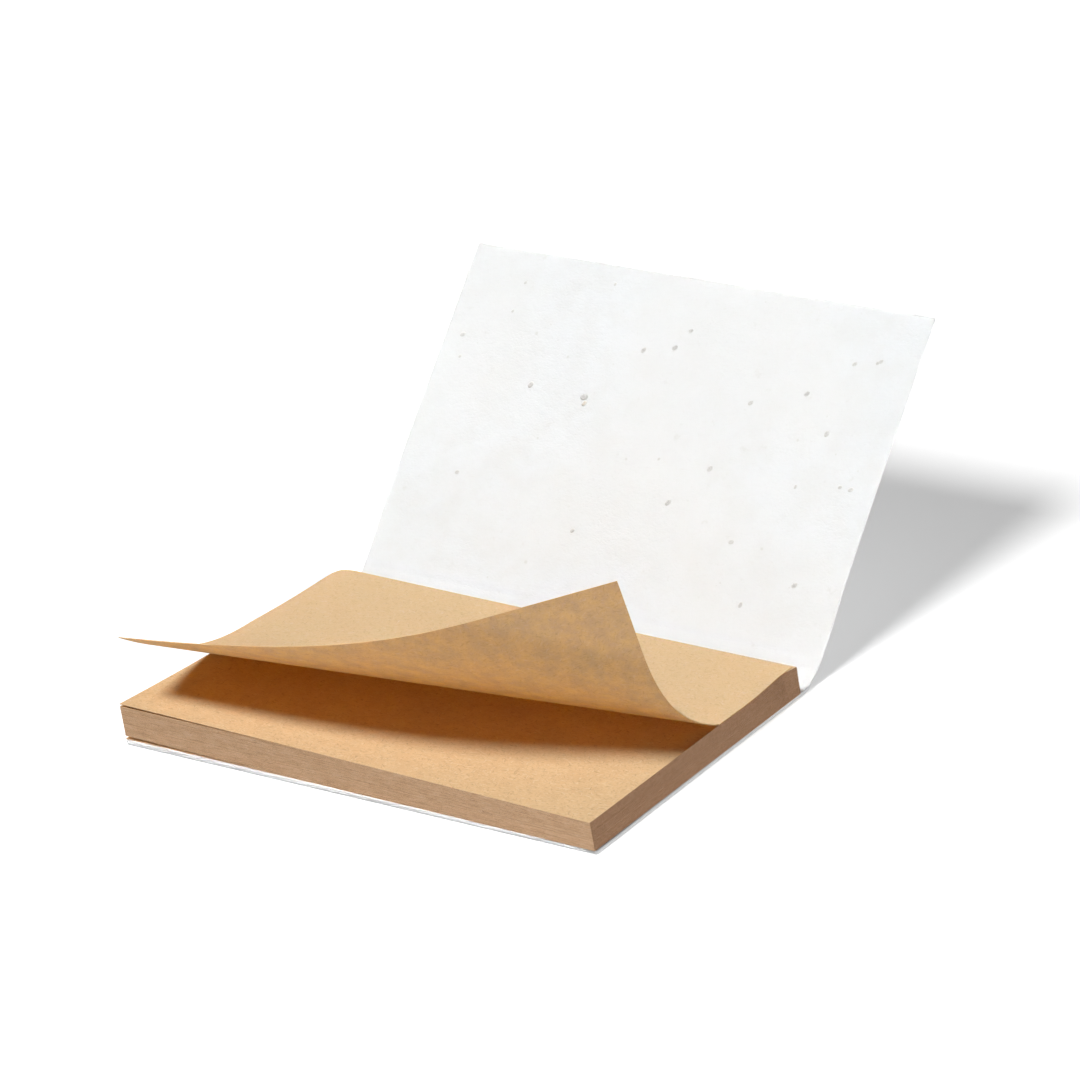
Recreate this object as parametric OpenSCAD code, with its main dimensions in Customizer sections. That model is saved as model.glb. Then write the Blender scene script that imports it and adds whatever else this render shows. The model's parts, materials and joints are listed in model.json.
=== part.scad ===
// Small adhesive notepad: a pad of kraft notes glued on one sheet of seed paper, which is folded
// twice behind the pad to make a spine and a front cover. The cover stands open, leaning back, and
// the top note is peeled and curled up from its front right corner.
// The origin is the centre of the cover's underside below the pad, +Y points to the folds, +Z up.

/* [Pad] */
// Width of the notes, along the folds of the cover
pad_w = 75; // [40:1:150]
// Depth of the notes, from the glued back edge to the free front edge
pad_d = 50; // [35:1:120]
// Height of the stack of notes where it lies flat
pad_h = 3.9; // [1.5:0.1:15]
// How far the loose front left corner of the stack has fanned up
fan_rise = 1.25; // [0.1:0.05:3]
// Depth at the back of the stack that the glue and the lie of the notes keep flat
fan_flat_d = 22; // [5:1:30]
// How far the free front of the stack leans to the left over its height
pad_lean_w = 0.4; // [0.1:0.1:2]
// Degrees by which the pad is glued askew on the cover
pad_askew = 0.4; // [0.1:0.1:2]

/* [Peeled note] */
// Thickness of one note
note_t = 0.1; // [0.05:0.01:0.3]
// Shift of the peeled note to the left of the stack
note_shift = 0.6; // [0.1:0.1:2]
// Degrees by which the peeled note has slewed round its glued edge
note_askew = 0.8; // [0.1:0.1:2]
// Where the curl starts on the left edge, from the glued edge
curl_start_left = 20.8; // [12:0.2:30]
// Where the curl starts on the right edge, from the glued edge
curl_start_right = 18.5; // [10:0.5:30]
// How far the lines of bending spread along the left edge and its run on past the corner
curl_spread_left = 60; // [40:0.2:90]
// How far the lines of bending spread along the right edge
curl_spread_right = 21.5; // [15:0.5:30]
// Rate of bending where the note leaves the stack, in degrees over the whole curl
curl_root_angle = 116; // [40:1:150]
// Rate of bending in the middle of the curl
curl_middle_angle = 18; // [5:1:60]
// Rate of bending at the end of the curl
curl_tip_angle = 236; // [60:1:260]

/* [Cover] */
// Thickness of the seed paper
cover_t = 0.6; // [0.3:0.05:1.2]
// Width of the cover
cover_w = 75; // [40:1:150]
// Strip of the back cover that shows in front of the pad
front_strip = 0.2; // [0.1:0.1:3]
// Strip of the back cover between the pad and the first fold
fold_strip = 2.5; // [1.5:0.1:8]
// Height that the closed cover leaves free above the flat stack
close_room = 0.1; // [0.1:0.1:3]
// Depth of the front cover, from its fold to its free edge
flap_d = 50; // [30:1:120]
// Angle of the open cover above the table
open_angle = 46; // [10:1:80]
// Gap between two panels at a fold
fold_play = 0.05; // [0.02:0.01:0.2]

/* [Hidden] */

back_d = front_strip + pad_d + fold_strip;
fold_y = back_d / 2;
spine_d = pad_h + close_room;
pad_y = -back_d / 2 + front_strip + pad_d / 2;
pad_top = cover_t + pad_h;
fan_power = 1.5;
block_columns = 10;
block_rows = 12;
curl_steps = 48;
note_columns = 24;
note_rows = 28;

// Rise of the top of the stack at u from its left edge and v from its glued edge
function fan(u, v) =
    fan_rise * (1 - u / pad_w) * pow(max(0, v - fan_flat_d) / (pad_d - fan_flat_d), fan_power);

// A corner point of the stack: level 0 is its foot, level 1 its top
function block_point(u, v, level) = [
    u - pad_w / 2 - pad_lean_w * level * v / pad_d,
    pad_d / 2 - v,
    cover_t + level * (pad_h + fan(u, v))
];

// Distances from the glued edge at which one line of bending meets the left and the right edge
function line_left(s) = curl_start_left + curl_spread_left * s;
function line_right(s) = curl_start_right + curl_spread_right * s * s;

// Degrees of bending per unit of s, strong where the note leaves the stack and at its tip
function bend_rate(s) =
    curl_root_angle * pow(1 - s, 3)
    + curl_middle_angle * 3 * s * (1 - s)
    + curl_tip_angle * pow(s, 3);

// Share of the curl, 0 to 1, that lies behind the point u, v of the flat note
function curl_share(u, v) =
    let (
        across = u / pad_w,
        past = v - curl_start_left * (1 - across) - curl_start_right * across,
        rate = curl_spread_left * (1 - across),
        growth = curl_spread_right * across
    )
    past <= 0 ? 0 : min(1, 2 * past / (rate + sqrt(rate * rate + 4 * growth * past)));

function shift_matrix(p) = [[1, 0, 0, p.x], [0, 1, 0, p.y], [0, 0, 1, p.z], [0, 0, 0, 1]];

// Turn by an angle round a line through p that lies in the sheet along the unit vector d
function turn_matrix(p, d, angle) =
    let (c = cos(angle), s = sin(angle))
    shift_matrix(p) * [
        [1 - (1 - c) * d.y * d.y, (1 - c) * d.x * d.y, s * d.y, 0],
        [(1 - c) * d.x * d.y, 1 - (1 - c) * d.x * d.x, -s * d.x, 0],
        [-s * d.y, s * d.x, c, 0],
        [0, 0, 0, 1]
    ] * shift_matrix(-p);

// The bend of one step of the curl, or of a part of it
function step_matrix(i, part) =
    let (
        s = (i + 0.5) / curl_steps,
        left = [0, -line_left(s), 0],
        right = [pad_w, -line_right(s), 0]
    )
    turn_matrix(left, (right - left) / norm(right - left), -part * bend_rate(s) / curl_steps);

identity = shift_matrix([0, 0, 0]);
curl_matrices = [for (i = 0, m = identity; i <= curl_steps; m = m * step_matrix(i, 1), i = i + 1) m];

// A point of the peeled note at u, v, on its under face (side -1) or its upper face (side 1)
function note_point(u, v, side) =
    let (
        steps = curl_share(u, v) * curl_steps,
        whole = min(floor(steps), curl_steps - 1),
        bent = curl_matrices[whole] * step_matrix(whole, steps - whole) * [u, -v, side * note_t / 2, 1]
    )
    [bent.x - pad_w / 2 - note_shift, bent.y, bent.z + note_t / 2];

// A closed sheet from two grids of points with the given numbers of cells; the lower grid comes first
module closed_grid(points, columns, rows) {
    line = columns + 1;
    upper = line * (rows + 1);
    rim = concat(
        [for (i = [0 : columns - 1]) i],
        [for (j = [0 : rows - 1]) j * line + columns],
        [for (i = [columns : -1 : 1]) rows * line + i],
        [for (j = [rows : -1 : 1]) j * line]
    );
    flat = [
        for (j = [0 : rows - 1], i = [0 : columns - 1])
            let (a = j * line + i)
            each [[a, a + 1, a + line], [a + 1, a + line + 1, a + line]]
    ];
    walls = [
        for (k = [0 : len(rim) - 1])
            let (a = rim[k], b = rim[(k + 1) % len(rim)])
            each [[a, a + upper, b], [b, a + upper, b + upper]]
    ];
    raised = [for (f = flat) [f[2] + upper, f[1] + upper, f[0] + upper]];
    polyhedron(points = points, faces = concat(flat, raised, walls), convexity = 4);
}

// Puts the pad where it is glued on the back cover
module on_cover() {
    translate([0, pad_y, 0])
        rotate([0, 0, -pad_askew])
            children();
}

// Puts a panel of the open cover on the line that rises from the first fold
module on_open_cover() {
    translate([-cover_w / 2, fold_y, cover_t])
        rotate([open_angle, 0, 0])
            children();
}

module back_cover() {
    color("whitesmoke")
        translate([-cover_w / 2, -back_d / 2, 0])
            cube([cover_w, back_d, cover_t]);
}

module cover_spine() {
    color("whitesmoke")
        on_open_cover()
            translate([0, fold_play, -cover_t])
                cube([cover_w, spine_d - fold_play, cover_t]);
}

module front_cover() {
    color("whitesmoke")
        on_open_cover()
            translate([0, spine_d + fold_play, -cover_t])
                cube([cover_w, flap_d - fold_play, cover_t]);
}

module note_block() {
    points = [
        for (level = [0, 1], j = [0 : block_rows], i = [0 : block_columns])
            block_point(pad_w * i / block_columns, pad_d * j / block_rows, level)
    ];
    color("burlywood")
        on_cover()
            closed_grid(points, block_columns, block_rows);
}

module lifted_note() {
    flat_d = min(curl_start_left, curl_start_right);
    curled_d = pad_d - flat_d;
    depths = [0, for (j = [0 : note_rows - 1]) flat_d + curled_d * j / (note_rows - 1)];
    points = [
        for (side = [-1, 1], v = depths, i = [0 : note_columns])
            note_point(pad_w * i / note_columns, v, side)
    ];
    color("tan")
        on_cover()
            translate([0, pad_d / 2, pad_top])
                rotate([0, 0, -note_askew])
                    closed_grid(points, note_columns, note_rows);
}

back_cover();
cover_spine();
front_cover();
note_block();
lifted_note();
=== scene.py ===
import json
import math

import bpy
import numpy as np
from mathutils import Matrix, Vector


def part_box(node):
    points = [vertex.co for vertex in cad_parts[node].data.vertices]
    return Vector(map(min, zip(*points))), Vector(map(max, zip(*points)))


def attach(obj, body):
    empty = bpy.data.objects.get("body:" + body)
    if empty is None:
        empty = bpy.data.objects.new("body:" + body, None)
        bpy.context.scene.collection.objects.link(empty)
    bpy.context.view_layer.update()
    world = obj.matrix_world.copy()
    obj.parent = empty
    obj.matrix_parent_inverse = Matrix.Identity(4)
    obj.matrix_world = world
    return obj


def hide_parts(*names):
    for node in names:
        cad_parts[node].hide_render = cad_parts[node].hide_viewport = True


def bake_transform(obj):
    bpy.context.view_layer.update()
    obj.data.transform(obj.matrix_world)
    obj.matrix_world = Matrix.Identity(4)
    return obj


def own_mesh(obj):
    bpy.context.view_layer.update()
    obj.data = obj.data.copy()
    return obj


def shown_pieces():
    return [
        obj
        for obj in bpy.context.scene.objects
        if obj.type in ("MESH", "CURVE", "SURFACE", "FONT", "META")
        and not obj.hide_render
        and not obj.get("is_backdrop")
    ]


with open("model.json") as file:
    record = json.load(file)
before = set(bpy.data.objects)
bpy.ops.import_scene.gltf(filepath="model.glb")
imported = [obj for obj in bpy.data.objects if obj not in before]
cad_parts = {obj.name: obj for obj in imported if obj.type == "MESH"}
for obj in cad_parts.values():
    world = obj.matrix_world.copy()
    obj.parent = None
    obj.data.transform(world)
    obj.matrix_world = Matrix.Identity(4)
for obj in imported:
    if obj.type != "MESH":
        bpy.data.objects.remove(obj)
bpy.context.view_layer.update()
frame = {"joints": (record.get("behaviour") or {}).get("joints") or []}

# The cover: one sheet of handmade seed paper, about 0.6 mm thick, cut to the width of the notes and
# creased twice behind them. It lies flat below the pad, turns up in a soft bend, and leans back open.
# Lengths here are in millimetres until a mesh is made of them.
MM = 0.001
base_low, base_high = (np.array(c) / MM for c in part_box("back_cover"))
first_fold, second_fold = (np.array(j["pos_m"]) / MM for j in frame["joints"])
paper_t = base_high[2] - base_low[2]
cover_half_w = (base_high[0] - base_low[0]) / 2
front_y = base_low[1]
open_angle = math.atan2(second_fold[2] - first_fold[2], second_fold[1] - first_fold[1])
spine_d = math.hypot(second_fold[1] - first_fold[1], second_fold[2] - first_fold[2])
flap_d = 50.0
flap_end = spine_d + flap_d
bend_radius = 2.5
middle_shift = paper_t / 2 * math.tan(open_angle / 2)
bend_reach = bend_radius * math.tan(open_angle / 2)
base_d = first_fold[1] + middle_shift - bend_reach - front_y
bend_d = bend_radius * open_angle
rise_start = bend_reach - middle_shift
cover_d = base_d + bend_d + flap_end - rise_start
seam_along = 2.4
edge_round = 0.25
corner_round = 0.5
# The flap dips where it leaves the spine, and bows out a little above that
dip, dip_at, dip_reach = 0.6, 5, 8
bow_out, bow_start, bow_reach = 0.05, 4, 30
# Height and size of the lumps in the paper's faces, and of the thin ridges that stand in patches
lump_layers = ((0.035, 9), (0.026, 3.2), (0.017, 1.5))
ridge_height, ridge_size, ridge_patch = 0.045, 17, 21
inner_seed, outer_seed = 11, 41


def lumps(x, y, size, seed):
    """Smooth random relief between about -1 and 1, with bumps of the given size."""
    turn = 0.7 * seed
    across = (x * math.cos(turn) - y * math.sin(turn)) / size + 1000
    along = (x * math.sin(turn) + y * math.cos(turn)) / size + 1000
    column, row = np.floor(across).astype(int), np.floor(along).astype(int)
    dx, dy = across - column, along - row
    angles = np.random.default_rng(seed).uniform(0, 2 * math.pi, (256, 256))

    def slope(i, j):
        angle = angles[(column + i) % 256, (row + j) % 256]
        return np.cos(angle) * (dx - i) + np.sin(angle) * (dy - j)

    wx, wy = (d * d * d * (d * (d * 6 - 15) + 10) for d in (dx, dy))
    near = slope(0, 0) * (1 - wx) + slope(1, 0) * wx
    far = slope(0, 1) * (1 - wx) + slope(1, 1) * wx
    return 1.5 * (near * (1 - wy) + far * wy)


def smooth_step(t):
    t = np.clip(t, 0, 1)
    return t * t * (3 - 2 * t)


def pulp_relief(x, s, seed):
    """Height of the lumpy face of the handmade paper."""
    relief = sum(height * lumps(x, s, size, seed + n) for n, (height, size) in enumerate(lump_layers))
    lines = np.clip(1 - 5 * np.abs(lumps(x, s, ridge_size, seed + 3)), 0, 1)
    ridges = lines * smooth_step(2 * lumps(x, s, ridge_patch, seed + 4))
    return relief + ridge_height * ridges ** 2


def along_of(s):
    """Distance up the open cover from its first fold."""
    return s - base_d - bend_d + rise_start


def cover_line(s):
    """Middle of the paper at the distance s from its front edge: y, z, and the angle it has turned."""
    angle = np.clip((s - base_d) / bend_d, 0, 1) * open_angle
    up = np.maximum(s - base_d - bend_d, 0)
    along = along_of(s)
    bow = bow_out * smooth_step((along - bow_start) / bow_reach)
    bow = bow - dip * np.exp(-(((along - dip_at) / dip_reach) ** 2))
    bow = bow * smooth_step((along + 0.5) / 3)
    y = front_y + np.minimum(s, base_d) + bend_radius * np.sin(angle) + up * math.cos(open_angle)
    z = paper_t / 2 + bend_radius * (1 - np.cos(angle)) + up * math.sin(open_angle)
    return y - bow * np.sin(angle), z + bow * np.cos(angle), angle


def cover_points(x, s, offset):
    """Points at the signed distance offset from the middle of the paper, in the part's frame."""
    y, z, angle = cover_line(s)
    return np.stack([x, y - offset * np.sin(angle), z + offset * np.cos(angle)], axis=-1)


def edge_lines(length, step, first=True, last=True):
    """Grid lines over a length, closer together at its free edges."""
    close = np.array([0, 0.05, 0.13, 0.25, 0.45])
    start = close if first else np.array([0.0])
    end = length - close[::-1] if last else np.array([length])
    inner = np.linspace(start[-1], end[0], max(2, round((end[0] - start[-1]) / step)) + 1)
    return np.concatenate([start, inner[1:-1], end])


def round_corners(x, s, s_end_free, s_start_free):
    """Pulls the grid in at the corners of the sheet, so that they aren't needle sharp."""
    a = corner_round - (cover_half_w - np.abs(x))
    for free, edge, sign in ((s_start_free, 0.0, -1), (s_end_free, cover_d, 1)):
        if not free:
            continue
        b = corner_round - sign * (edge - s)
        near = (a > 0) & (b > 0)
        limit = 2 * corner_round ** 2
        ra = a * np.sqrt(np.clip(1 - b * b / limit, 0, 1))
        rb = b * np.sqrt(np.clip(1 - a * a / limit, 0, 1))
        x = np.where(near, np.sign(x) * (cover_half_w - corner_round + ra), x)
        s = np.where(near, edge + sign * (rb - corner_round), s)
    return x, s


def sheet_mesh(name, upper, lower, uv_upper, uv_lower, uv_scale):
    """A closed sheet from two grids of points, with its own strip of the UV map for each side wall."""
    rows, columns = upper.shape[:2]
    count = rows * columns
    index = np.arange(count).reshape(rows, columns)
    cells = np.stack([index[:-1, :-1], index[:-1, 1:], index[1:, 1:], index[1:, :-1]], -1).reshape(-1, 4)
    sides = [index[0], index[:, -1], index[-1][::-1], index[:, 0][::-1]]
    walls = [np.stack([r[:-1], r[:-1] + count, r[1:] + count, r[1:]], -1) for r in sides]
    faces = np.concatenate([cells, cells[:, ::-1] + count] + walls)
    points = np.concatenate([upper.reshape(-1, 3), lower.reshape(-1, 3)])
    uv = np.concatenate([uv_upper.reshape(-1, 2), uv_lower.reshape(-1, 2)])
    loops = [uv[cells].reshape(-1, 2), uv[cells[:, ::-1] + count].reshape(-1, 2)]
    margin, first_strip, strip_pitch = 0.02, 0.72, 0.02
    for number, (ring, wall) in enumerate(zip(sides, walls)):
        steps = np.linalg.norm(np.diff(points[ring], axis=0), axis=1)
        run = np.concatenate([[0], np.cumsum(steps)]) / uv_scale + margin
        low = first_strip + strip_pitch * number
        high = low + paper_t / uv_scale
        strip = np.stack([run[:-1], run[:-1], run[1:], run[1:]], -1)
        levels = np.tile([high, low, low, high], (len(wall), 1))
        loops.append(np.stack([strip, levels], -1).reshape(-1, 2))
    mesh = bpy.data.meshes.new(name)
    mesh.from_pydata((points * MM).tolist(), [], faces.tolist())
    layer = mesh.uv_layers.new(name="UVMap")
    layer.data.foreach_set("uv", np.concatenate(loops).astype(np.float32).ravel())
    mesh.shade_smooth()
    mesh.set_sharp_from_angle(angle=0.9)
    return mesh


def add_piece(name, mesh, *materials):
    """Puts a mesh in the scene as a piece with its materials."""
    piece = bpy.data.objects.new(name, mesh)
    bpy.context.scene.collection.objects.link(piece)
    for material in materials:
        mesh.materials.append(material)
    return piece


def add_node(tree, kind, inputs=None, **settings):
    """A node with its settings, and each input either linked or given its value."""
    made = tree.nodes.new(kind)
    for key, value in settings.items():
        setattr(made, key, value)
    for key, value in (inputs or {}).items():
        if isinstance(value, bpy.types.NodeSocket):
            tree.links.new(value, made.inputs[key])
        else:
            made.inputs[key].default_value = value
    return made


def maths(tree, operation, *values, clamp=False):
    """The result of one arithmetic step in a node tree."""
    inputs = dict(enumerate(values))
    return add_node(tree, "ShaderNodeMath", inputs, operation=operation, use_clamp=clamp).outputs[0]


def vector_maths(tree, operation, *values):
    """The result of one step of vector arithmetic in a node tree."""
    return add_node(tree, "ShaderNodeVectorMath", dict(enumerate(values)), operation=operation).outputs[0]


def vector_of(tree, x=0.0, y=0.0, z=0.0):
    return add_node(tree, "ShaderNodeCombineXYZ", {0: x, 1: y, 2: z}).outputs[0]


def sides_of(tree, vector):
    """The X, Y and Z of a vector."""
    return add_node(tree, "ShaderNodeSeparateXYZ", {0: vector}).outputs


def noise(tree, place, scale, detail=2.0, roughness=0.5):
    inputs = {"Vector": place, "Scale": scale, "Detail": detail, "Roughness": roughness}
    return add_node(tree, "ShaderNodeTexNoise", inputs).outputs["Fac"]


def soft_limit(tree, value, low, high):
    """0 below low, 1 above high, smooth between."""
    inputs = {"Value": value, "From Min": low, "From Max": high}
    return add_node(tree, "ShaderNodeMapRange", inputs, interpolation_type="SMOOTHSTEP").outputs["Result"]


def mix_colours(tree, share, first, second):
    """One colour laid over another by a share."""
    made = tree.nodes.new("ShaderNodeMix")
    made.data_type = "RGBA"
    for socket, value in ((made.inputs[0], share), (made.inputs[6], first), (made.inputs[7], second)):
        if isinstance(value, bpy.types.NodeSocket):
            tree.links.new(value, socket)
        else:
            socket.default_value = value
    return made.outputs[2]


def lay_over(tree, colour, mask, amount, tone):
    """A tone laid over a colour where a mask shows, by an amount."""
    return mix_colours(tree, maths(tree, "MULTIPLY", mask, amount), colour, tone)


def tree_sockets(tree, inputs, outputs):
    """Names the inputs and outputs of a node group, and returns its inputs by name and its output node."""
    for side, names_of_kind in (("INPUT", inputs), ("OUTPUT", outputs)):
        for kind, names in names_of_kind.items():
            for name in names:
                tree.interface.new_socket(name, in_out=side, socket_type="NodeSocket" + kind)
    given = tree.nodes.new("NodeGroupInput")
    return given.outputs, tree.nodes.new("NodeGroupOutput")


def make_paper_grain():
    """Group for paper: soft clouds, short fibres lying along X, dark specks and the height of the felt."""
    tree = bpy.data.node_groups.new("paper_grain", "ShaderNodeTree")
    given, result = tree_sockets(
        tree,
        {
            "Vector": ["Millimetres"],
            "Float": ["Cloud Size", "Fibre Length", "Fibre Width", "Speck Spacing", "Speck Size"],
        },
        {"Float": ["Clouds", "Fibres", "Pale Fibres", "Grain", "Specks", "Height"]},
    )
    place = given["Millimetres"]
    clouds = noise(tree, place, maths(tree, "DIVIDE", 1.0, given["Cloud Size"]), 4.0, 0.62)
    bend = add_node(tree, "ShaderNodeTexNoise", {"Vector": place, "Scale": 0.6, "Detail": 1.0})
    bend = vector_maths(tree, "SUBTRACT", bend.outputs["Color"], (0.5, 0.5, 0.5))
    curled = vector_maths(tree, "MULTIPLY_ADD", bend, (1.1, 1.1, 1.1), place)
    fibre = vector_of(tree, given["Fibre Length"], given["Fibre Width"], given["Fibre Width"])
    layers = []
    for angle in (-31, -8, 5, 24, 78):
        inputs = {"Vector": curled, "Angle": math.radians(angle)}
        turned = add_node(tree, "ShaderNodeVectorRotate", inputs, rotation_type="Z_AXIS").outputs[0]
        stretched = vector_maths(tree, "DIVIDE", turned, fibre)
        moved = vector_maths(tree, "ADD", stretched, (angle, 0.0, 0.0))
        layers.append(noise(tree, moved, 1.0, 0.0))
    high, low = layers[0], layers[0]
    for layer in layers[1:]:
        high, low = maths(tree, "MAXIMUM", high, layer), maths(tree, "MINIMUM", low, layer)
    fibres = soft_limit(tree, high, 0.70, 0.84)
    pale = maths(tree, "SUBTRACT", 1.0, soft_limit(tree, low, 0.16, 0.30))
    per_mm = maths(tree, "DIVIDE", 1.0, given["Speck Spacing"])
    dots = add_node(tree, "ShaderNodeTexVoronoi", {"Vector": place, "Scale": per_mm})
    reach = maths(tree, "DIVIDE", given["Speck Size"], given["Speck Spacing"])
    chance = add_node(tree, "ShaderNodeSeparateColor", {"Color": dots.outputs["Color"]})
    grown = maths(tree, "MULTIPLY", reach, chance.outputs[0])
    near = maths(tree, "DIVIDE", dots.outputs["Distance"], maths(tree, "MAXIMUM", grown, 0.001))
    specks = maths(tree, "SUBTRACT", 1.0, soft_limit(tree, near, 0.4, 1.1))
    felt = noise(tree, place, 1.6, 3.0, 0.6)
    fine = noise(tree, place, 3.2, 3.0, 0.7)
    height = maths(tree, "MULTIPLY_ADD", felt, 0.6, maths(tree, "MULTIPLY", fine, 0.25))
    height = maths(tree, "MULTIPLY_ADD", maths(tree, "SUBTRACT", pale, fibres), 0.12, height)
    made = {
        "Clouds": clouds, "Fibres": fibres, "Pale Fibres": pale,
        "Grain": fine, "Specks": specks, "Height": height,
    }
    for name, value in made.items():
        tree.links.new(value, result.inputs[name])
    return tree


paper_grain = make_paper_grain()
# Millimetres across the whole UV map, on every piece that has one
UV_MM = 160.0


def new_material(name):
    """A material with its node tree and its surface shader."""
    material = bpy.data.materials.new(name)
    material.use_nodes = True
    tree = material.node_tree
    return material, tree, tree.nodes["Principled BSDF"]


def place_in_mm(tree, source):
    """Millimetre coordinates from the UV map or from the part's own frame."""
    scale = UV_MM if source == "UV" else 1 / MM
    here = add_node(tree, "ShaderNodeTexCoord").outputs[source]
    return add_node(tree, "ShaderNodeMapping", {"Vector": here, "Scale": (scale, scale, scale)}).outputs[0]


def grain_of(tree, place, sizes):
    """The grain group in a material, with that material's own sizes in millimetres."""
    names = ("Cloud Size", "Fibre Length", "Fibre Width", "Speck Spacing", "Speck Size")
    inputs = {"Millimetres": place, **dict(zip(names, sizes))}
    return add_node(tree, "ShaderNodeGroup", inputs, node_tree=paper_grain).outputs


def finish_surface(tree, surface, colour, roughness, specular, height, depth, strength=1.0):
    """Gives a surface its colour and gloss, and a bump of the given depth in metres."""
    tree.links.new(colour, surface.inputs["Base Color"])
    surface.inputs["Roughness"].default_value = roughness
    surface.inputs["Specular IOR Level"].default_value = specular
    bump = add_node(tree, "ShaderNodeBump", {"Height": height, "Distance": depth, "Strength": strength})
    tree.links.new(bump.outputs[0], surface.inputs["Normal"])


def seed_paper_material():
    """White handmade paper: pale clouds, olive smudges and specks, a few fibres, and painted shade on the
    panel below the pad.
    """
    material, tree, surface = new_material("seed_paper")
    place = place_in_mm(tree, "UV")
    grain = grain_of(tree, place, (6.0, 1.4, 0.16, 3.6, 0.34))
    white = (0.885, 0.905, 0.917, 1)
    cool = (0.862, 0.875, 0.876, 1)
    warm = (0.884, 0.890, 0.884, 1)
    olive = (0.66, 0.655, 0.60, 1)
    fibre_tone = (0.80, 0.795, 0.77, 1)
    # The grey of the painted shade on the panel below the pad, and its share
    grey, painted_shade_share = (0.70, 0.71, 0.71, 1), 0.7
    colour = mix_colours(tree, soft_limit(tree, grain["Clouds"], 0.35, 0.7), white, cool)
    tint = soft_limit(tree, noise(tree, place, 0.03, 1.0), 0.4, 0.6)
    smudges = soft_limit(tree, noise(tree, place, 0.45, 4.0, 0.6), 0.62, 0.76)
    colour = lay_over(tree, colour, tint, 0.6, warm)
    colour = lay_over(tree, colour, smudges, 0.22, olive)
    colour = lay_over(tree, colour, grain["Specks"], 0.35, olive)
    colour = lay_over(tree, colour, grain["Fibres"], 0.16, fibre_tone)
    # Painted shade: the panel below the pad is painted greyer than the flap, fading out across the bend,
    # to darken its front edge, which the lights leave brighter than the flap
    past_fold = soft_limit(tree, sides_of(tree, place)["Y"], base_d - 1, base_d + 7)
    painted_shade_mask = maths(tree, "MULTIPLY_ADD", past_fold, -painted_shade_share, painted_shade_share)
    colour = mix_colours(tree, painted_shade_mask, colour, grey)
    finish_surface(tree, surface, colour, 0.92, 0.2, grain["Height"], 0.00006)
    return material


seed_paper = seed_paper_material()


# The open edges are thinner, the side edges ragged, and a crease runs between the spine and the flap
edge_half, thinning, thinning_reach = 0.6, 0.36, 0.45
ragged, ragged_size, ragged_reach = 0.035, 1.1, 1.5
crease_depth, crease_reach = 0.05, 0.4


def cover_piece(name, s_first, s_last, step, free_first, free_last):
    """One length of the cover between two distances from its front edge."""
    rows = s_first + edge_lines(s_last - s_first, step, free_first, free_last)
    if free_first:
        bend_rows = np.arange(base_d - 1, s_last - 0.12, 0.2)
        rows = np.concatenate([rows[rows < base_d - 1.1], bend_rows, [s_last]])
    columns = edge_lines(2 * cover_half_w, step) - cover_half_w
    x, s = np.meshgrid(columns, rows)
    edge = cover_half_w - np.abs(x)
    if free_first:
        edge = np.minimum(edge, s)
    if free_last:
        edge = np.minimum(edge, cover_d - s)
    share = np.clip(edge / edge_round, 0, 1)
    half = paper_t / 2 * (edge_half + (1 - edge_half) * np.sqrt(1 - (1 - share) ** 2))
    lifted = smooth_step((along_of(s) + 1.5) / 2)
    outer_taper = thinning * lifted * (1 - np.clip(edge / thinning_reach, 0, 1)) ** 1.6
    inner = pulp_relief(x, s, inner_seed)
    outer = pulp_relief(x, s, outer_seed)
    under_pad = s < base_d - 1
    inner = np.where(under_pad, np.minimum(inner, -0.004), inner)
    crease = crease_depth * np.exp(-(((along_of(s) - spine_d) / crease_reach) ** 2))
    fade = smooth_step(edge / 0.8)
    x_round, s_round = round_corners(x, s, free_last, free_first)
    rough = ragged * lumps(x, s, ragged_size, 71) * (1 - smooth_step(edge / ragged_reach))
    x_round = x_round - rough * np.sign(x) * (np.abs(x) > cover_half_w - ragged_reach)
    top = cover_points(x_round, s_round, half + (inner - crease) * fade)
    low = cover_points(x_round, s_round, -half - (outer - crease) * fade + outer_taper)
    low[..., 2] = np.maximum(low[..., 2], 0)
    uv_in = np.stack([(x + cover_half_w) / UV_MM + 0.02, s / UV_MM + 0.01], -1)
    uv_out = np.stack([(x + cover_half_w) / UV_MM + 0.51, s / UV_MM + 0.01], -1)
    mesh = sheet_mesh(name, top, low, uv_in, uv_out, UV_MM)
    return add_piece(name, mesh, seed_paper)


seam_s = base_d + bend_d + seam_along - rise_start

cover_base = cover_piece("cover_base", 0.0, seam_s, step=0.5, free_first=True, free_last=False)
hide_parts("back_cover", "cover_spine")
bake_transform(cover_base)

cover_flap = cover_piece("cover_flap", seam_s, cover_d, step=0.35, free_first=False, free_last=True)
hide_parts("front_cover")
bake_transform(cover_flap)

# The seeds: small flat seeds and bits of stalk that were stirred into the pulp. They sit half sunk in
# both faces of the cover, most of them under a thin skin of paper, so that only their tops show.


def mesh_value(tree, name):
    """A value that a mesh keeps on its points, for its material."""
    return add_node(tree, "ShaderNodeAttribute", attribute_name=name).outputs["Fac"]


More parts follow.
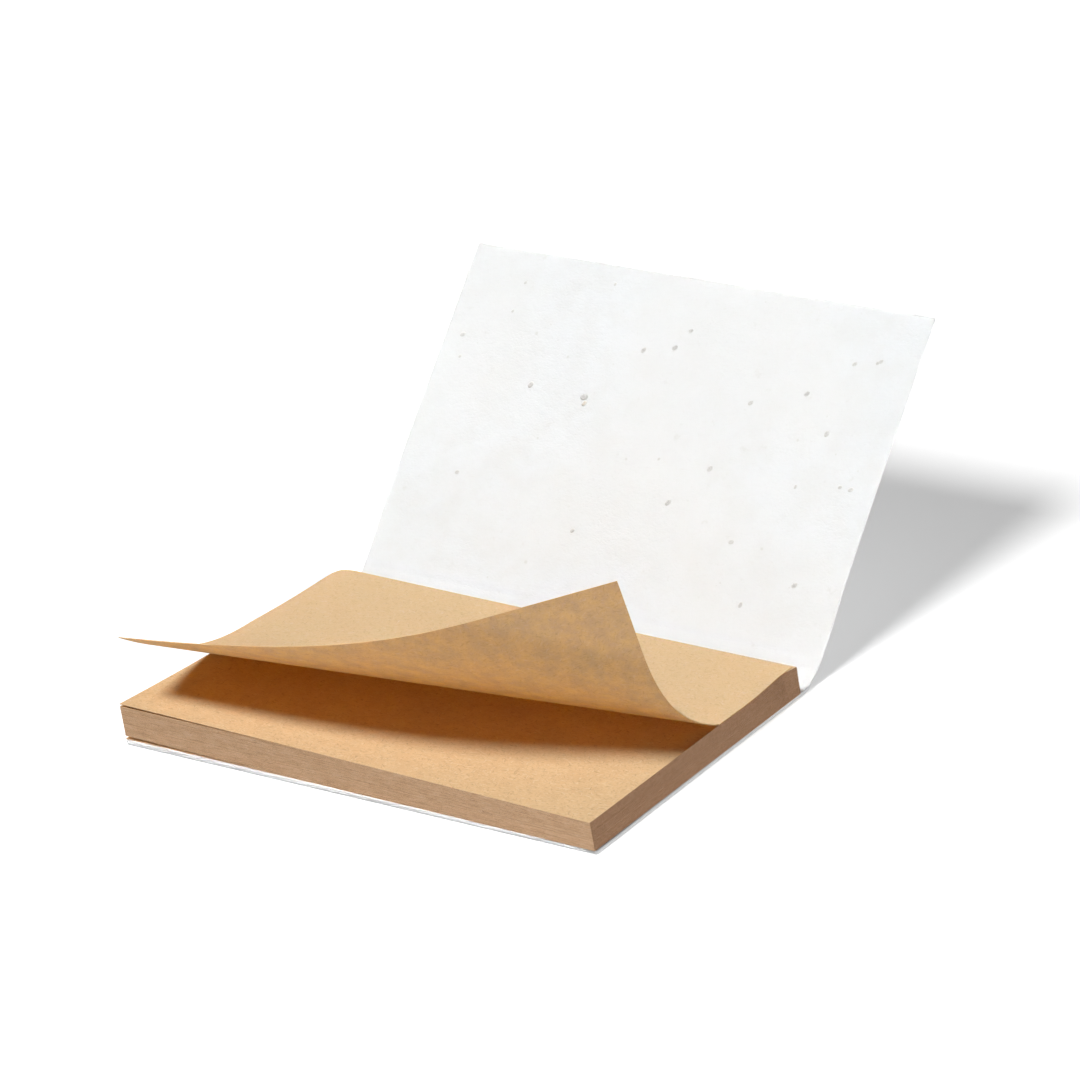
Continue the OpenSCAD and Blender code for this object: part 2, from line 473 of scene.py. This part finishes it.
def seed_skin_material():
    """Grey and tan seeds, paler where the pulp still covers them."""
    material, tree, surface = new_material("seeds")
    top, shade = mesh_value(tree, "seed_top"), mesh_value(tree, "seed_shade")
    paper = (0.84, 0.84, 0.82, 1)
    grey = (0.47, 0.47, 0.46, 1)
    tan = (0.68, 0.58, 0.45, 1)
    colour = mix_colours(tree, soft_limit(tree, shade, 0.8, 0.9), grey, tan)
    rough = noise(tree, add_node(tree, "ShaderNodeTexCoord").outputs["Object"], 5000.0)
    shown = maths(tree, "MULTIPLY_ADD", rough, 1.3, maths(tree, "SUBTRACT", top, 0.65))
    strength = maths(tree, "MULTIPLY_ADD", shade, 0.9, 0.15)
    bare = maths(tree, "MULTIPLY", soft_limit(tree, shown, 0.3, 1.5), strength)
    colour = mix_colours(tree, bare, paper, colour)
    finish_surface(tree, surface, colour, 0.75, 0.3, rough, 0.00003)
    return material


seed_skin = seed_skin_material()


def named_value(tree, name):
    """A value kept under a name on the points of the geometry."""
    return add_node(tree, "GeometryNodeInputNamedAttribute", {"Name": name}, data_type="FLOAT").outputs[0]


def store_value(tree, geometry, name, value):
    """Keeps a value on each point of a geometry under a name."""
    inputs = {"Geometry": geometry, "Name": name, "Value": value}
    made = add_node(tree, "GeometryNodeStoreNamedAttribute", inputs, data_type="FLOAT", domain="POINT")
    return made.outputs[0]


def grown_mesh(name, start, tree, values):
    """Runs a Geometry Nodes tree on a start mesh and returns the plain mesh that comes out."""
    holder = bpy.data.objects.new(name + "_start", start)
    bpy.context.scene.collection.objects.link(holder)
    modifier = holder.modifiers.new("grow", "NODES")
    modifier.node_group = tree
    for item in tree.interface.items_tree:
        if item.item_type == "SOCKET" and item.in_out == "INPUT" and item.name in values:
            modifier[item.identifier] = values[item.name]
    depsgraph = bpy.context.evaluated_depsgraph_get()
    mesh = bpy.data.meshes.new_from_object(
        holder.evaluated_get(depsgraph), preserve_all_data_layers=True, depsgraph=depsgraph
    )
    holder.modifiers.remove(modifier)
    bpy.data.objects.remove(holder)
    mesh.name = name
    return mesh


def make_seed_tree():
    """Puts a small lens on each point, turned and sized by the point's own values."""
    tree = bpy.data.node_groups.new("pressed_seeds", "GeometryNodeTree")
    given, result = tree_sockets(
        tree,
        {"Geometry": ["Points"], "Float": ["Width Share", "Height Share"], "Material": ["Material"]},
        {"Geometry": ["Geometry"]},
    )
    lens = add_node(tree, "GeometryNodeMeshUVSphere", {"Segments": 8, "Rings": 5, "Radius": 1.0})
    height = sides_of(tree, add_node(tree, "GeometryNodeInputPosition").outputs[0])[2]
    lens = store_value(tree, lens.outputs[0], "seed_top", maths(tree, "ABSOLUTE", height))
    half = maths(tree, "MULTIPLY", named_value(tree, "seed_length"), 0.5)
    wide, high = (maths(tree, "MULTIPLY", half, given[name]) for name in ("Width Share", "Height Share"))
    size = vector_of(tree, half, wide, high)
    turn = vector_of(tree, z=named_value(tree, "seed_turn"))
    inputs = {"Points": given["Points"], "Instance": lens, "Rotation": turn, "Scale": size}
    placed = add_node(tree, "GeometryNodeInstanceOnPoints", inputs).outputs[0]
    real = add_node(tree, "GeometryNodeRealizeInstances", {"Geometry": placed}).outputs[0]
    smooth = add_node(tree, "GeometryNodeSetShadeSmooth", {0: real}).outputs[0]
    inputs = {"Geometry": smooth, "Material": given["Material"]}
    done = add_node(tree, "GeometryNodeSetMaterial", inputs).outputs[0]
    tree.links.new(done, result.inputs["Geometry"])
    return tree


seed_tree = make_seed_tree()
INNER, OUTER = 1, -1
# Seeds that show on the inside of the flap: place across, distance up from the first fold, length and
# shade, which is near 1 for the tan ones
flap_seeds = [
    (-27.5, 49.2, 0.40, 0.35), (-13.1, 51.2, 0.38, 0.30), (-27.9, 44.7, 0.38, 0.35),
    (-34.6, 40.0, 0.62, 0.50), (-33.8, 36.7, 0.40, 0.30), (-20.8, 34.4, 0.72, 0.80),
    (-11.7, 34.0, 0.84, 0.79), (-11.3, 33.1, 0.66, 1.00), (-5.0, 42.3, 0.66, 0.70),
    (-0.3, 43.4, 0.62, 0.70), (1.3, 46.2, 0.52, 0.60), (27.9, 45.5, 0.58, 0.60),
    (31.3, 46.2, 0.46, 0.45), (31.7, 46.5, 0.52, 0.55), (14.3, 37.4, 0.58, 0.60),
    (22.3, 40.1, 0.60, 0.50), (27.3, 35.0, 0.66, 0.60), (11.6, 27.1, 0.66, 0.60),
    (7.0, 21.2, 0.68, 0.80), (25.4, 26.8, 0.44, 0.50), (32.0, 27.9, 0.46, 0.35),
    (33.7, 27.8, 0.60, 0.60), (-6.2, 14.7, 0.52, 0.60), (18.6, 17.4, 0.58, 0.60),
    (-27.5, 19.8, 0.56, 0.60), (3.3, 27.1, 0.36, 0.30), (30.1, 13.2, 0.70, 0.75),
    (23.0, 9.1, 0.64, 0.70),
]


def scattered_seeds(count, s_low, s_high, seed):
    """Seeds strewn by chance, for a face that the photo doesn't show: x, s, length and shade of each."""
    draw = np.random.default_rng(seed)
    x = draw.uniform(-cover_half_w + 2, cover_half_w - 2, count)
    s = draw.uniform(s_low, s_high, count)
    length = draw.uniform(0.35, 0.8, count)
    shade = draw.uniform(0.25, 0.85, count)
    return np.stack([x, s, length, shade], -1)


def seed_piece(name, faces, seed):
    """Seeds for one part of the cover: faces is a list of (side, seeds), with x, s, length and shade."""
    draw = np.random.default_rng(seed)
    rows = np.concatenate([np.column_stack([np.full(len(found), side), found]) for side, found in faces])
    side, x, s, length, shade = rows.T
    height = side * paper_t / 2
    start = bpy.data.meshes.new(name + "_points")
    start.from_pydata(np.stack([x, s, height], -1).tolist(), [], [])
    turn = draw.uniform(0.2, 1.3, len(rows))
    for key, values in (("seed_length", length), ("seed_turn", turn), ("seed_shade", shade)):
        start.attributes.new(key, "FLOAT", "POINT").data.foreach_set("value", values.astype(np.float32))
    inputs = {"Width Share": 0.74, "Height Share": 0.09, "Material": seed_skin}
    mesh = grown_mesh(name, start, seed_tree, inputs)
    x, s, offset = np.array([v.co for v in mesh.vertices]).T
    relief = np.where(offset > 0, pulp_relief(x, s, inner_seed), -pulp_relief(x, s, outer_seed))
    bent = cover_points(x, s, offset + relief)
    bent[:, 2] = np.maximum(bent[:, 2], 0.002)
    mesh.vertices.foreach_set("co", (bent * MM).astype(np.float32).ravel())
    mesh.update()
    piece = add_piece(name, mesh)
    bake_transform(piece)
    return piece


# The lengths above are those of the bare tops, and each seed is longer below its skin of pulp
hidden_growth = 1.6
shown = np.array(flap_seeds)
shown[:, 2] *= hidden_growth
shown[:, 1] += base_d + bend_d - rise_start
seed_piece(
    "seeds_flap",
    [(INNER, shown), (OUTER, scattered_seeds(44, seam_s + 2, cover_d - 2, 5))],
    7,
)
seed_piece("seeds_base", [(OUTER, scattered_seeds(34, 2, base_d - 3, 6))], 8)

# The stack: notes of brown kraft paper, held along their back edges by strips of removable glue, so
# that their free front edges fan a little. It was cut to size as one block, and its cut faces show
# the edge of each note. The lowest note lies flat on the cover.
# Size of the stack, its place and turn on the cover, and how its free front left corner fans and leans
PAD_W, PAD_D, PAD_H = 75.0, 50.0, 3.9
PAD_Y, PAD_TURN = -1.15, math.radians(-0.4)
FAN_RISE, FAN_FLAT, FAN_POWER, LEAN = 1.25, 22.0, 1.5, 0.4
NOTES = 49
on_cover = Matrix.Translation((0, PAD_Y, 0)) @ Matrix.Rotation(PAD_TURN, 4, "Z")


def kraft_colours(tree, grain, tones, amounts):
    """Kraft paper from the grain group: clouds, grain, fibres and specks laid over one brown."""
    light, dark, fibre, pale, speck = tones
    masks = (
        (soft_limit(tree, grain["Clouds"], 0.3, 0.72), dark),
        (soft_limit(tree, grain["Grain"], 0.42, 0.72), dark),
        (grain["Pale Fibres"], pale),
        (grain["Fibres"], fibre),
        (grain["Specks"], speck),
    )
    colour = light
    for (mask, tone), amount in zip(masks, amounts):
        colour = lay_over(tree, colour, mask, amount, tone)
    return colour


# The sheet's light and dark browns, its dark and pale fibres, and its specks
KRAFT_TONES = (
    (0.862, 0.613, 0.343, 1),
    (0.740, 0.498, 0.262, 1),
    (0.540, 0.340, 0.170, 1),
    (0.910, 0.700, 0.460, 1),
    (0.300, 0.180, 0.090, 1),
)


def kraft_material(name, source, tones, cloud_share):
    """Smooth kraft paper, in the tones and with the share of clouds that are given."""
    material, tree, surface = new_material(name)
    grain = grain_of(tree, place_in_mm(tree, source), (2.6, 1.2, 0.17, 1.6, 0.17))
    colour = kraft_colours(tree, grain, tones, (cloud_share, 0.6, 0.8, 0.55, 0.35))
    finish_surface(tree, surface, colour, 0.78, 0.25, grain["Height"], 0.000018, 0.8)
    return material, tree, surface, grain, colour


kraft_sheet = kraft_material("kraft_sheet", "Object", KRAFT_TONES, 0.45)[0]


def cut_edge_material():
    """The cut faces of the stack: darker and rougher, with long streaks that differ from note to note."""
    material, tree, surface = new_material("kraft_cut_edge")
    place = place_in_mm(tree, "Object")
    tone, level = mesh_value(tree, "sheet_tone"), mesh_value(tree, "sheet_level")
    shift = vector_of(tree, maths(tree, "MULTIPLY", tone, 40.0), 0.0, maths(tree, "MULTIPLY", tone, 90.0))
    grain = grain_of(tree, vector_maths(tree, "ADD", place, shift), (1.6, 1.1, 0.12, 1.1, 0.2))
    tones = (
        (0.628, 0.392, 0.228, 1),
        (0.500, 0.292, 0.160, 1),
        (0.380, 0.225, 0.125, 1),
        (0.720, 0.520, 0.350, 1),
        (0.250, 0.140, 0.075, 1),
    )
    dark, pale, pale_share = tones[2], tones[3], 0.35
    colour = kraft_colours(tree, grain, tones, (0.5, 0.7, 0.8, 0.8, 0.6))
    flat = vector_maths(tree, "MULTIPLY", place, (0.5, 2.6, 0.0))
    along = vector_maths(tree, "ADD", flat, vector_of(tree, z=maths(tree, "MULTIPLY", level, 24.0)))
    streaks = noise(tree, along, 1.0)
    colour = lay_over(tree, colour, soft_limit(tree, streaks, 0.5, 0.68), 0.5, dark)
    not_pale = maths(tree, "MULTIPLY", soft_limit(tree, streaks, 0.32, 0.5), pale_share)
    colour = mix_colours(tree, maths(tree, "SUBTRACT", pale_share, not_pale), colour, pale)
    colour = lay_over(tree, colour, tone, 0.28, dark)
    finish_surface(tree, surface, colour, 0.85, 0.2, grain["Height"], 0.00003)
    return material


kraft_cut_edge = cut_edge_material()


def make_corner_lift():
    """Group: how far the free front left corner of the notes has risen at a point of the pad."""
    tree = bpy.data.node_groups.new("corner_lift", "GeometryNodeTree")
    given, result = tree_sockets(
        tree,
        {"Float": ["Across", "Down", "Rise", "Reach", "Reach Power", "Start", "Depth", "Power"]},
        {"Float": ["Lift"]},
    )
    side = maths(tree, "SUBTRACT", 1.0, maths(tree, "DIVIDE", given["Across"], given["Reach"]), clamp=True)
    side = maths(tree, "POWER", side, given["Reach Power"])
    past = maths(tree, "SUBTRACT", given["Down"], given["Start"])
    free_depth = maths(tree, "SUBTRACT", given["Depth"], given["Start"])
    front = maths(tree, "POWER", maths(tree, "DIVIDE", past, free_depth, clamp=True), given["Power"])
    lift = maths(tree, "MULTIPLY", given["Rise"], maths(tree, "MULTIPLY", side, front))
    tree.links.new(lift, result.inputs["Lift"])
    return tree


corner_lift = make_corner_lift()


def make_stack_tree():
    """Lays the notes on each other, each a little off its place, and fans their free corner."""
    tree = bpy.data.node_groups.new("stack_of_notes", "GeometryNodeTree")
    given, result = tree_sockets(
        tree,
        {
            "Geometry": ["Geometry"],
            "Int": ["Notes", "Seed"],
            "Float": [
                "Width", "Depth", "Height", "Bottom", "Shift", "Turn", "Fan Rise", "Fan Flat", "Fan Power",
                "Lean", "Low Gap", "Top Gap", "Side Step", "Front Bow", "Back Step",
            ],
            "Material": ["Sheet Material", "Cut Material"],
        },
        {"Geometry": ["Geometry"]},
    )

    def step(operation, *values, clamp=False):
        return maths(tree, operation, *values, clamp=clamp)

    def draw(kind, low, high, offset):
        number = {"FLOAT_VECTOR": 0, "FLOAT": 2}[kind]
        inputs = {number: low, number + 1: high, "Seed": step("ADD", given["Seed"], float(offset))}
        made = add_node(tree, "FunctionNodeRandomValue", inputs, data_type=kind)
        return made.outputs[0 if number == 0 else 1]

    pitch = step("DIVIDE", given["Height"], given["Notes"])
    thick = step("MULTIPLY", pitch, 0.93)
    start = vector_of(tree, z=step("MULTIPLY_ADD", thick, 0.5, given["Bottom"]))
    inputs = {"Count": given["Notes"], "Start Location": start, "Offset": vector_of(tree, z=pitch)}
    line = add_node(tree, "GeometryNodeMeshLine", inputs, mode="OFFSET").outputs[0]
    number = add_node(tree, "GeometryNodeInputIndex").outputs[0]
    level = step("DIVIDE", number, step("SUBTRACT", given["Notes"], 1.0))
    line = store_value(tree, line, "sheet_level", level)
    line = store_value(tree, line, "sheet_tone", draw("FLOAT", 0.0, 1.0, 1))
    off = vector_of(tree, given["Shift"], given["Shift"])
    off = vector_maths(tree, "MULTIPLY", draw("FLOAT_VECTOR", (-1, -1, 0), (1, 1, 0), 2), off)
    line = add_node(tree, "GeometryNodeSetPosition", {"Geometry": line, "Offset": off}).outputs[0]
    size = vector_of(tree, given["Width"], given["Depth"], thick)
    inputs = {"Size": size, "Vertices X": 18, "Vertices Y": 18, "Vertices Z": 2}
    note = add_node(tree, "GeometryNodeMeshCube", inputs).outputs[0]
    turn = vector_of(tree, z=step("MULTIPLY", draw("FLOAT", -1.0, 1.0, 3), given["Turn"]))
    inputs = {"Points": line, "Instance": note, "Rotation": turn}
    notes = add_node(tree, "GeometryNodeInstanceOnPoints", inputs).outputs[0]
    notes = add_node(tree, "GeometryNodeRealizeInstances", {"Geometry": notes}).outputs[0]
    spot = sides_of(tree, add_node(tree, "GeometryNodeInputPosition").outputs[0])
    across = step("MULTIPLY_ADD", given["Width"], 0.5, spot[0])
    down = step("SUBTRACT", step("MULTIPLY", given["Depth"], 0.5), spot[1])
    level = named_value(tree, "sheet_level")

    def lift(rise, reach, reach_power, begin, power):
        """Rise of the corner: reach runs from the left edge, and begin from the glued one."""
        inputs = {
            "Across": across, "Down": down, "Rise": rise, "Reach": reach, "Reach Power": reach_power,
            "Start": begin, "Depth": given["Depth"], "Power": power,
        }
        return add_node(tree, "GeometryNodeGroup", inputs, node_tree=corner_lift).outputs["Lift"]

    fan = lift(given["Fan Rise"], given["Width"], 1.0, given["Fan Flat"], given["Fan Power"])
    fan = step("MULTIPLY", fan, level)
    above_lowest = step("GREATER_THAN", level, 0.001)
    below_top = step("LESS_THAN", level, 0.999)
    low = step("MULTIPLY", lift(given["Low Gap"], 26.0, 1.3, 28.0, 1.5), step("SUBTRACT", 1.0, level))
    low = step("MULTIPLY", low, above_lowest)
    top = step("MULTIPLY", lift(given["Top Gap"], 34.0, 1.2, 18.0, 1.5), level)
    top = step("MULTIPLY", top, below_top)
    up = step("SUBTRACT", step("ADD", fan, low), top)
    down_share = step("DIVIDE", down, given["Depth"], clamp=True)
    across_share = step("DIVIDE", across, given["Width"], clamp=True)
    lean = step("MULTIPLY", step("MULTIPLY", given["Lean"], level), down_share)
    right = step("MULTIPLY", across_share, across_share)
    behind = step("POWER", step("DIVIDE", step("MAXIMUM", down, 0.0), 6.5), 3.0)
    back = step("MULTIPLY", given["Back Step"], step("EXPONENT", step("MULTIPLY", behind, -1.0)))
    back_share = step("POWER", step("SUBTRACT", 1.0, down_share, clamp=True), 1.5)
    side = step("MULTIPLY", given["Side Step"], back_share)
    inset = step("MULTIPLY", step("ADD", back, side), soft_limit(tree, down, -0.6, 0.9))
    inset = step("MULTIPLY", step("ADD", inset, 0.06), step("MULTIPLY", level, right))
    shift_x = step("SUBTRACT", step("MULTIPLY", lean, -1.0), inset)
    centre = step("MULTIPLY", step("MULTIPLY", across_share, step("SUBTRACT", 1.0, across_share)), 4.0)
    front = step("MULTIPLY", down_share, down_share)
    shift_y = step("MULTIPLY", step("MULTIPLY", given["Front Bow"], centre), front)
    move = vector_of(tree, shift_x, shift_y, up)
    facing = sides_of(tree, add_node(tree, "GeometryNodeInputNormal").outputs[0])[2]
    flat = step("GREATER_THAN", step("ABSOLUTE", facing), 0.5)
    inputs = {"Geometry": notes, "Material": given["Cut Material"]}
    notes = add_node(tree, "GeometryNodeSetMaterial", inputs).outputs[0]
    inputs = {"Geometry": notes, "Selection": flat, "Material": given["Sheet Material"]}
    notes = add_node(tree, "GeometryNodeSetMaterial", inputs).outputs[0]
    notes = add_node(tree, "GeometryNodeSetShadeSmooth", {0: notes, "Selection": flat}).outputs[0]
    corner = step("GREATER_THAN", add_node(tree, "GeometryNodeInputMeshEdgeAngle").outputs[0], 0.7)
    inputs = {0: notes, "Selection": corner, "Shade Smooth": False}
    notes = add_node(tree, "GeometryNodeSetShadeSmooth", inputs, domain="EDGE").outputs[0]
    notes = add_node(tree, "GeometryNodeSetPosition", {"Geometry": notes, "Offset": move}).outputs[0]
    tree.links.new(notes, result.inputs["Geometry"])
    return tree


stack_mesh = grown_mesh(
    "stack_of_notes",
    bpy.data.meshes.new("stack_start"),
    make_stack_tree(),
    {
        "Notes": NOTES, "Width": PAD_W, "Depth": PAD_D, "Height": PAD_H, "Bottom": paper_t,
        "Shift": 0.018, "Turn": math.radians(0.02), "Fan Rise": FAN_RISE, "Fan Flat": FAN_FLAT,
        "Fan Power": FAN_POWER, "Lean": LEAN, "Low Gap": 0.4, "Top Gap": 0.3, "Side Step": 0.40,
        "Front Bow": 0.15, "Back Step": 0.44, "Seed": 3,
        "Sheet Material": kraft_sheet, "Cut Material": kraft_cut_edge,
    },
)
stack_mesh.transform(Matrix.Scale(MM, 4) @ on_cover)
stack = add_piece("stack_of_notes", stack_mesh)
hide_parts("note_block")
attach(stack, "pad")

# The top note: it has been peeled from the front, so it stays stuck along its back edge and curls up
# and over from its front right corner. Its lines of bending fan out from left to right.
# Its thickness, shift and turn, where the curl starts on each edge and how far it spreads, and its bends
NOTE_T, NOTE_SHIFT, NOTE_TURN = 0.1, 0.6, math.radians(-0.8)
LEFT_START, RIGHT_START, LEFT_SPREAD, RIGHT_SPREAD = 20.8, 18.5, 60.0, 21.5
ROOT_BEND, MIDDLE_BEND, TIP_BEND = (math.radians(d) for d in (116, 18, 236))
CURL_STEPS = 48
PAD_TOP = paper_t + PAD_H
# How far the edges of the note stray: the right one out and in, the left one out, a corner rounded
RIGHT_OUT, RIGHT_IN, LEFT_OUT, CORNER_OFF = 0.47, 0.2, 0.55, 0.6


def bend_matrix(step, part):
    """The bend of one step of the curl, or of a part of it, round its own line across the note."""
    s = (step + 0.5) / CURL_STEPS
    left = Vector((0, -(LEFT_START + LEFT_SPREAD * s), 0))
    right = Vector((PAD_W, -(RIGHT_START + RIGHT_SPREAD * s * s), 0))
    rate = ROOT_BEND * (1 - s) ** 3 + MIDDLE_BEND * 3 * s * (1 - s) + TIP_BEND * s ** 3
    turn = Matrix.Rotation(-part * rate / CURL_STEPS, 4, right - left)
    return Matrix.Translation(left) @ turn @ Matrix.Translation(-left)


def curl_share(u, v):
    """Share of the curl that lies behind the point u, v of the flat note."""
    across = u / PAD_W
    past = v - LEFT_START * (1 - across) - RIGHT_START * across
    if past <= 0:
        return 0.0
    rate, growth = LEFT_SPREAD * (1 - across), RIGHT_SPREAD * across
    return min(1.0, 2 * past / (rate + math.sqrt(rate * rate + 4 * growth * past)))


def strayed(u, v):
    """Where a point of the flat note really is, as its edges aren't quite straight."""
    right = RIGHT_OUT * math.exp(-(((v - 15) / 8) ** 4)) - RIGHT_IN * math.exp(-((v / 4.5) ** 4))
    left = LEFT_OUT * (1 - u / PAD_W) ** 3 * math.exp(-(((v - 22) / 7) ** 2))
    corner = CORNER_OFF * max(0.0, 1 - u / 3.0) ** 2 * max(0.0, 1 - v / 3.0) ** 2
    return u + u / PAD_W * right - left + corner, -v - corner


def curled_note():
    """Grids of points of the upper and the lower face of the peeled note, in the part's frame."""
    whole_bends = [Matrix.Identity(4)]
    for step in range(CURL_STEPS):
        whole_bends.append(whole_bends[-1] @ bend_matrix(step, 1))
    place = (
        on_cover
        @ Matrix.Translation((0, PAD_D / 2, PAD_TOP))
        @ Matrix.Rotation(NOTE_TURN, 4, "Z")
        @ Matrix.Translation((-PAD_W / 2 - NOTE_SHIFT, 0, NOTE_T / 2))
    )
    downs = np.concatenate([np.linspace(0, 18, 20)[:-1], np.linspace(18, PAD_D, 96)])
    acrosses = np.linspace(0, PAD_W, 151)
    upper, lower, flat = [], [], []
    for v in downs:
        for u in acrosses:
            steps = curl_share(u, v) * CURL_STEPS
            whole = min(int(steps), CURL_STEPS - 1)
            bend = whole_bends[whole] @ bend_matrix(whole, steps - whole)
            at = strayed(u, v)
            upper.append(place @ bend @ Vector((*at, NOTE_T / 2)))
            lower.append(place @ bend @ Vector((*at, -NOTE_T / 2)))
            flat.append((u, PAD_D - v))
    shape = (len(downs), len(acrosses))
    return (
        np.array(upper).reshape(*shape, 3)[::-1],
        np.array(lower).reshape(*shape, 3)[::-1],
        np.array(flat).reshape(*shape, 2)[::-1],
    )


def note_material():
    """Kraft paper that light comes through. The under face, which has the right half of the UV map,
    shows its clouds of pulp, and gives the pad close below a warmer and darker light than it shows."""
    paler = [tuple(np.array(tone) * (0.945, 1.030, 1.085, 1)) for tone in KRAFT_TONES]
    material, tree, surface, grain, colour = kraft_material("kraft_note", "UV", paler, 0.0)
    cloud_tone = (0.70, 0.50, 0.36, 1)
    bounce_tone, bounce_share = (0.80, 0.42, 0.10, 1), 0.75
    thin_glow, thick_glow, glow_share = (1.0, 0.64, 0.03, 1), (0.68, 0.38, 0.06, 1), 0.40
    on_map = sides_of(tree, add_node(tree, "ShaderNodeUVMap").outputs[0])
    under = maths(tree, "GREATER_THAN", on_map["X"], 0.5)
    thick = maths(tree, "MULTIPLY", soft_limit(tree, grain["Clouds"], 0.27, 0.73), under)
    colour = lay_over(tree, colour, thick, 0.16, cloud_tone)
    depth = add_node(tree, "ShaderNodeLightPath").outputs["Ray Depth"]
    bounced = maths(tree, "GREATER_THAN", depth, 0.5)
    bounced = maths(tree, "MULTIPLY", bounced, maths(tree, "MULTIPLY", under, bounce_share))
    colour = mix_colours(tree, bounced, colour, bounce_tone)
    tree.links.new(colour, surface.inputs["Base Color"])
    glow = mix_colours(tree, thick, thin_glow, thick_glow)
    glow = lay_over(tree, glow, maths(tree, "GREATER_THAN", depth, 1.5), 0.42, (0, 0, 0, 1))
    through = add_node(tree, "ShaderNodeBsdfTranslucent", {"Color": glow}).outputs[0]
    both = add_node(tree, "ShaderNodeMixShader", {0: glow_share, 1: surface.outputs[0], 2: through})
    tree.links.new(both.outputs[0], tree.nodes["Material Output"].inputs["Surface"])
    return material


upper_face, lower_face, flat_place = curled_note()
note_uv = flat_place / UV_MM + np.array([0.02, 0.01])
under_uv = note_uv + np.array([0.49, 0])
peeled_mesh = sheet_mesh("peeled_note", upper_face, lower_face, note_uv, under_uv, UV_MM)
peeled = add_piece("peeled_note", peeled_mesh, note_material())
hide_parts("lifted_note")
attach(peeled, "pad")
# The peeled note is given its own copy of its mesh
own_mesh(peeled)

# The studio: a plain white floor, soft light from the upper left, and the camera of the photo. Each soft
# light is linked to what it lights: the main one to the whole part, the others to the one piece whose
# shading in the photo they follow. The floor has its own, as its shadow falls along another line.


def white_floor():
    """A matt white plane that glows enough to be seen white all over."""
    material, tree, surface = new_material("white_floor")
    surface.inputs["Base Color"].default_value = (0.86, 0.86, 0.86, 1)
    surface.inputs["Roughness"].default_value = 0.9
    surface.inputs["Specular IOR Level"].default_value = 0.1
    seen = add_node(tree, "ShaderNodeLightPath").outputs["Is Camera Ray"]
    glow_always, glow_in_view = 0.10, 0.362
    strength = maths(tree, "MULTIPLY_ADD", seen, glow_in_view, glow_always)
    glow = add_node(tree, "ShaderNodeEmission", {"Color": (1, 1, 1, 1), "Strength": strength})
    both = add_node(tree, "ShaderNodeAddShader", {0: surface.outputs[0], 1: glow.outputs[0]})
    tree.links.new(both.outputs[0], tree.nodes["Material Output"].inputs["Surface"])
    mesh = bpy.data.meshes.new("floor")
    reach = 4.0
    corners = [(x * reach, y * reach, 0) for x, y in ((-1, -1), (1, -1), (1, 1), (-1, 1))]
    mesh.from_pydata(corners, [], [(0, 1, 2, 3)])
    floor = add_piece("floor", mesh, material)
    floor.location.z = -0.00002
    floor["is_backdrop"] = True
    return floor


floor = white_floor()


def direction(azimuth, elevation):
    """The way from the part to a light or the camera: turned from the front to the right, and up."""
    level = math.cos(elevation)
    return Vector((math.sin(azimuth) * level, -math.cos(azimuth) * level, math.sin(elevation)))


def soft_sun(name, azimuth, elevation, strength, spread, receivers, colour=(1, 1, 1)):
    """A distant soft light from a direction, which lights only the given objects."""
    light = bpy.data.lights.new(name, "SUN")
    light.energy, light.angle, light.color = strength, math.radians(spread), colour
    lamp = bpy.data.objects.new(name, light)
    bpy.context.scene.collection.objects.link(lamp)
    towards = direction(math.radians(azimuth), math.radians(elevation))
    lamp.rotation_euler = towards.to_track_quat("Z", "Y").to_euler()
    lit = bpy.data.collections.new(name + "_lit")
    for thing in receivers:
        lit.objects.link(thing)
    lamp.light_linking.receiver_collection = lit


cover_pieces = [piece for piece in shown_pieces() if piece not in (stack, peeled)]
soft_sun("part_light", -60, 60, 3.05, 19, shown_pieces())
soft_sun("cover_light", -60, 60, 0.725, 19, cover_pieces)
soft_sun("note_light", -60, 60, 1.98, 19, [peeled])
soft_sun("front_light", 20, 2, 1.02, 6, [stack], (0.92, 1.09, 1.25))
soft_sun("edge_light", 75, 3, 0.42, 10, [stack], (1.0, 0.52, 0.42))
soft_sun("curl_light", 24, 9, 1.13, 24, [peeled], (1.0, 0.80, 0.54))
soft_sun("side_light", 85, 4, 1.25, 20, [cover_base])
soft_sun("rim_light", 95, 5, 2.6, 10, [cover_flap])
soft_sun("floor_light", -7, 48, 3.25, 18, [floor])

world = bpy.data.worlds.new("studio")
bpy.context.scene.world = world
world.use_nodes = True
sky = world.node_tree.nodes["Background"]
seen = add_node(world.node_tree, "ShaderNodeLightPath").outputs["Is Camera Ray"]
sky.inputs["Color"].default_value = (1, 1, 1, 1)
sky_always, sky_in_view = 0.008, 0.992
strength = maths(world.node_tree, "MULTIPLY_ADD", seen, sky_in_view, sky_always)
world.node_tree.links.new(strength, sky.inputs["Strength"])
bpy.context.scene.view_settings.view_transform = "Standard"

# The camera looks down past the front right corner from 0.7 m away, through a long lens, slightly rolled
camera = bpy.data.cameras.new("camera")
camera.lens, camera.sensor_width = 175.876, 36.0
camera.clip_start, camera.clip_end = 0.05, 20
viewer = bpy.data.objects.new("camera", camera)
bpy.context.scene.collection.objects.link(viewer)
target, distance = Vector((-3.483, 24.887, 15)), 718.264
azimuth, elevation, roll = (math.radians(d) for d in (35.282, 23.838, -4.69))
back = direction(azimuth, elevation)
right = (-back).cross(Vector((0, 0, 1))).normalized()
up = right.cross(-back)
rolled_right = math.cos(roll) * right + math.sin(roll) * up
rolled_up = -math.sin(roll) * right + math.cos(roll) * up
turned = Matrix((rolled_right, rolled_up, back)).transposed().to_4x4()
viewer.matrix_world = Matrix.Translation((target + back * distance) * MM) @ turned
bpy.context.scene.camera = viewer
